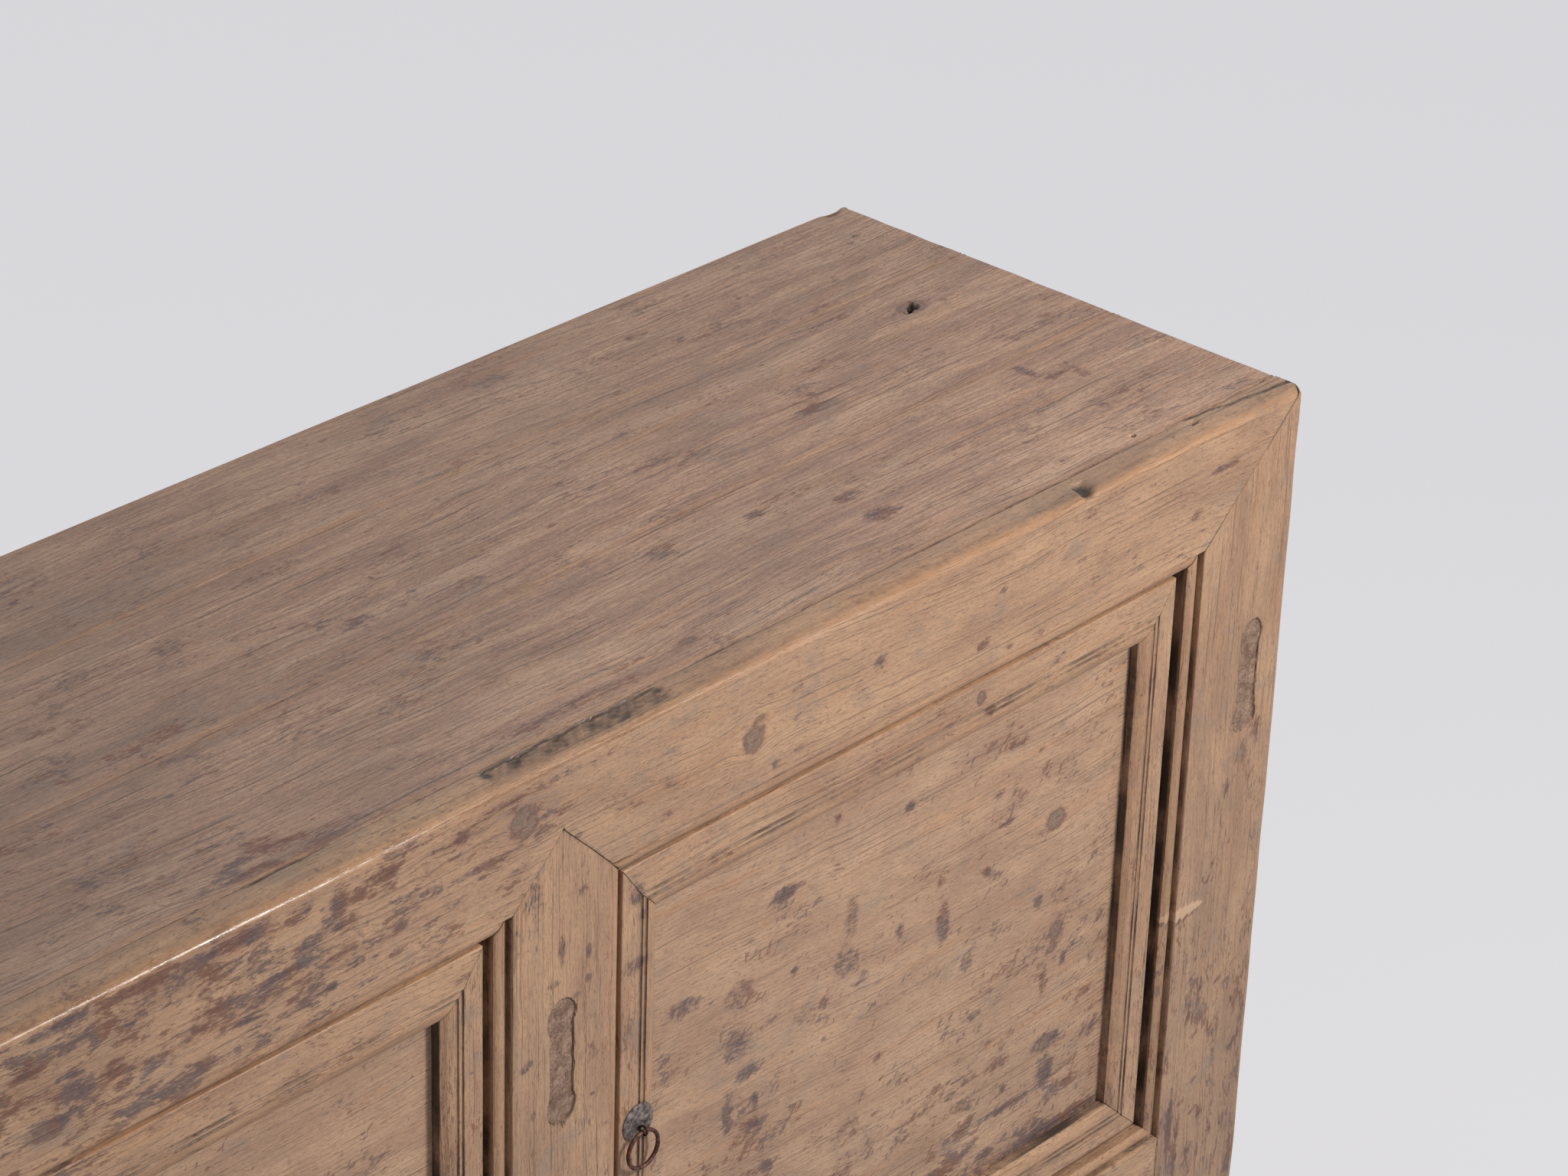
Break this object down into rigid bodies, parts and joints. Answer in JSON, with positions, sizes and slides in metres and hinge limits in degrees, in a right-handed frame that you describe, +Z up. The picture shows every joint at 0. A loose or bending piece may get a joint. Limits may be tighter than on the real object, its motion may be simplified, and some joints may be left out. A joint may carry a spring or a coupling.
{
  "type": "buffet cabinet",
  "caption": "Long low elm buffet cabinet with a mitred and beaded frame, plank top and framed doors that turn on wooden pivots and open by iron rings.",
  "frame": {"origin": "on the floor, under the middle of the cabinet's bounding box", "axes": "+Z up, -Y towards the front with the doors, +X to the right as seen from the front"},
  "size_m": [1.986, 0.4078, 0.78],
  "materials": {
    "elm_frame": "old elm, bleached and waxed to a dull sheen, with remains of dark lacquer in the grain",
    "elm_panel": "old elm boards, bleached, with grain lying along the board and dark lacquer specks",
    "elm_top": "old elm planks, bleached grey brown and worn, with open grain",
    "elm_inside": "plain planed elm, unfinished",
    "plug_filler": "rough dark grey brown plug, sawn and left unplaned",
    "forged_iron": "hand forged iron, dark brown patina with rubbed edges"
  },
  "bodies": {
    "carcass": {"front_left_leg": "elm_frame", "front_right_leg": "elm_frame", "back_left_leg": "elm_frame", "back_right_leg": "elm_frame", "front_top_rail": "elm_frame", "front_bottom_rail": "elm_frame", "left_front_stile": "elm_frame", "right_front_stile": "elm_frame", "left_side_top_rail": "elm_frame", "right_side_top_rail": "elm_frame", "left_side_bottom_rail": "elm_frame", "right_side_bottom_rail": "elm_frame", "left_side_panel": "elm_panel", "right_side_panel": "elm_panel", "back_top_rail": "elm_inside", "back_bottom_rail": "elm_inside", "back_left_stile": "elm_inside", "back_right_stile": "elm_inside", "back_left_panel": "elm_inside", "back_middle_panel": "elm_inside", "back_right_panel": "elm_inside", "top_front_plank": "elm_top", "top_middle_plank": "elm_top", "top_back_plank": "elm_top", "top_battens": "elm_inside", "bottom_boards": "elm_inside", "bottom_bearers": "elm_inside", "inner_shelf": "elm_inside", "shelf_bearers": "elm_inside", "front_apron": "elm_frame", "mortise_plugs": "plug_filler", "door_stops": "elm_inside"},
    "left_door": {"left_door_pull_stile": "elm_frame", "left_door_hinge_stile": "elm_frame", "left_door_top_rail": "elm_frame", "left_door_bottom_rail": "elm_frame", "left_door_panel": "elm_panel", "left_door_batten": "elm_inside", "left_pull_plate": "forged_iron", "left_pull_staple": "forged_iron"},
    "left_ring": {"left_pull_ring": "forged_iron"},
    "middle_door": {"middle_door_pull_stile": "elm_frame", "middle_door_hinge_stile": "elm_frame", "middle_door_top_rail": "elm_frame", "middle_door_bottom_rail": "elm_frame", "middle_door_panel": "elm_panel", "middle_door_batten": "elm_inside", "middle_pull_plate": "forged_iron", "middle_pull_staple": "forged_iron"},
    "middle_ring": {"middle_pull_ring": "forged_iron"},
    "right_door": {"right_door_pull_stile": "elm_frame", "right_door_hinge_stile": "elm_frame", "right_door_top_rail": "elm_frame", "right_door_bottom_rail": "elm_frame", "right_door_panel": "elm_panel", "right_door_batten": "elm_inside", "right_pull_plate": "forged_iron", "right_pull_staple": "forged_iron"},
    "right_ring": {"right_pull_ring": "forged_iron"}
  },
  "joints": [
    {"name": "left_door_hinge", "type": "hinge", "parent": "carcass", "child": "left_door", "pos_m": [-0.863, -0.1801, 0.468], "axis": [0, 0, -1], "range_deg": [0, 110]},
    {"name": "left_ring_swing", "type": "hinge", "parent": "left_door", "child": "left_ring", "pos_m": [-0.381, -0.2001, 0.496], "axis": [-1, 0, 0], "range_deg": [-7, 100]},
    {"name": "middle_door_hinge", "type": "hinge", "parent": "carcass", "child": "middle_door", "pos_m": [0.241, -0.1801, 0.468], "axis": [0, 0, 1], "range_deg": [0, 110]},
    {"name": "middle_ring_swing", "type": "hinge", "parent": "middle_door", "child": "middle_ring", "pos_m": [-0.245, -0.2001, 0.496], "axis": [-1, 0, 0], "range_deg": [-7, 100]},
    {"name": "right_door_hinge", "type": "hinge", "parent": "carcass", "child": "right_door", "pos_m": [0.863, -0.1801, 0.468], "axis": [0, 0, 1], "range_deg": [0, 110]},
    {"name": "right_ring_swing", "type": "hinge", "parent": "right_door", "child": "right_ring", "pos_m": [0.381, -0.2001, 0.496], "axis": [-1, 0, 0], "range_deg": [-7, 100]}
  ]
}
